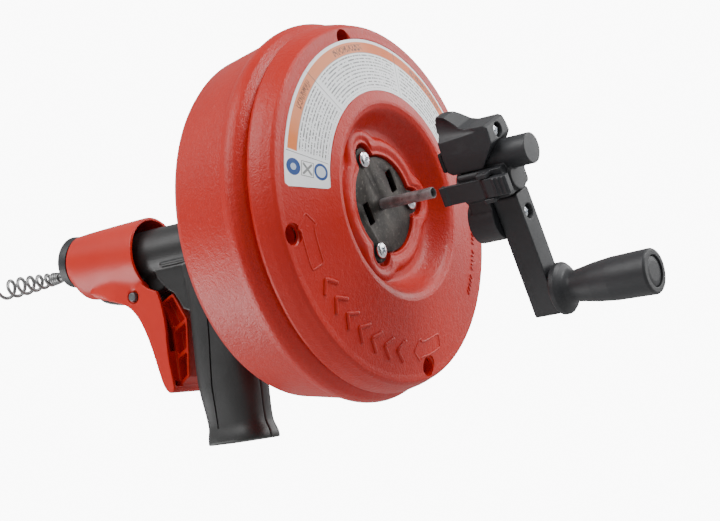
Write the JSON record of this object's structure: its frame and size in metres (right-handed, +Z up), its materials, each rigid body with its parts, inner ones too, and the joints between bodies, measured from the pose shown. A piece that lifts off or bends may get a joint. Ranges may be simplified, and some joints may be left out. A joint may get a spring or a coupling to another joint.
{
  "type": "drain snake machine",
  "caption": "Hand-held drain snake: round cable drum on a pistol grip with a trigger feed sleeve, coil auger tip and a pull-off hand crank.",
  "frame": {"origin": "on the drum axis at the front face of the hub plate, where the crank or a drill is seated", "axes": "+X along the drum axis from the nose towards the crank, +Z up with the grip pointing down, +Y to the left seen from the crank"},
  "size_m": [0.4782, 0.235, 0.2455],
  "materials": {
    "red_plastic": "fine moulded texture, satin",
    "black_plastic": "fine moulded texture, satin",
    "dark_steel": "black oxide, mottled",
    "shaft_steel": "drawn tube, burnished",
    "zinc_steel": "zinc plated",
    "cable_steel": "wound wire",
    "label_film": "printed film",
    "acetal": "natural acetal",
    "pad_rubber": "moulded"
  },
  "bodies": {
    "handle": {"grip_left_shell": "black_plastic", "grip_right_shell": "black_plastic", "grip_screw_top": "zinc_steel", "grip_screw_middle": "zinc_steel", "grip_screw_bottom": "zinc_steel", "neck_tube": "shaft_steel", "retaining_washer": "zinc_steel", "retaining_nut": "zinc_steel", "roller_carrier": "black_plastic", "lower_roller_pin_left": "shaft_steel", "lower_roller_pin_right": "shaft_steel", "trigger_pin": "shaft_steel", "trigger_return_spring": "zinc_steel"},
    "lower_roller_left": {"lower_roller_left": "acetal"},
    "lower_roller_right": {"lower_roller_right": "acetal"},
    "trigger": {"trigger_sleeve": "red_plastic", "nose_ring": "black_plastic", "upper_roller_pin": "shaft_steel"},
    "upper_roller": {"upper_roller": "acetal"},
    "drum": {"drum_rear_shell": "red_plastic", "drum_front_cover": "red_plastic", "bearing_bush": "acetal", "hub_plate": "dark_steel", "drive_shaft": "shaft_steel", "hub_screw_1": "zinc_steel", "hub_screw_2": "zinc_steel", "hub_screw_3": "zinc_steel", "cover_screw_1": "zinc_steel", "cover_screw_2": "zinc_steel", "cover_screw_3": "zinc_steel", "cover_screw_4": "zinc_steel", "info_label": "label_film", "cable_coil": "cable_steel", "inner_guide_tube": "shaft_steel"},
    "cable": {"cable_lead": "cable_steel", "auger_tip": "cable_steel"},
    "crank": {"crank_hub": "black_plastic", "crank_hub_block": "black_plastic", "block_screw": "zinc_steel", "crank_foot_pad": "pad_rubber", "crank_arm": "black_plastic", "arm_screw": "zinc_steel", "knob_spindle": "shaft_steel", "knob_washer": "zinc_steel", "latch_pin_far": "shaft_steel", "latch_pin_near": "shaft_steel", "latch_spring_far": "zinc_steel", "latch_spring_near": "zinc_steel"},
    "latch_far": {"crank_latch_far": "black_plastic"},
    "latch_near": {"crank_latch_near": "black_plastic"},
    "knob": {"crank_knob": "black_plastic", "knob_cap": "black_plastic"}
  },
  "joints": [
    {"name": "drum_spin", "type": "hinge", "parent": "handle", "child": "drum", "pos_m": [0, 0, 0], "axis": [1, 0, 0], "continuous": true},
    {"name": "cable_feed", "type": "slide", "parent": "drum", "child": "cable", "axis": [-1, 0, 0], "range_m": [0, 0.03]},
    {"name": "crank_pull", "type": "slide", "parent": "drum", "child": "crank", "axis": [1, 0, 0], "range_m": [-0.052, 0.04]},
    {"name": "knob_spin", "type": "hinge", "parent": "crank", "child": "knob", "pos_m": [0.12, 0.0288, -0.06817], "axis": [1, 0, 0], "continuous": true},
    {"name": "latch_far_pinch", "type": "hinge", "parent": "crank", "child": "latch_far", "pos_m": [0.084, 0.01327, 0.01483], "axis": [0, 0.3891, -0.9212], "range_deg": [0, 3.5], "stiffness_Nm_per_rad": 0.3},
    {"name": "latch_near_pinch", "type": "hinge", "parent": "crank", "child": "latch_near", "pos_m": [0.084, -0.01678, -0.00654], "axis": [0, -0.3891, 0.9212], "range_deg": [0, 3.5], "stiffness_Nm_per_rad": 0.3},
    {"name": "trigger_squeeze", "type": "hinge", "parent": "handle", "child": "trigger", "pos_m": [-0.19, 0, -0.0253], "axis": [0, -1, 0], "range_deg": [0, 6], "stiffness_Nm_per_rad": 0.6},
    {"name": "upper_roller_spin", "type": "hinge", "parent": "trigger", "child": "upper_roller", "pos_m": [-0.225, 0, 0.014], "axis": [0.9063, 0.4226, 0], "continuous": true},
    {"name": "lower_roller_left_spin", "type": "hinge", "parent": "handle", "child": "lower_roller_left", "pos_m": [-0.225, -0.00726, -0.00528], "axis": [0.9063, -0.2484, 0.3419], "continuous": true},
    {"name": "lower_roller_right_spin", "type": "hinge", "parent": "handle", "child": "lower_roller_right", "pos_m": [-0.225, 0.00726, -0.00528], "axis": [0.9063, -0.2484, -0.3419], "continuous": true}
  ]
}
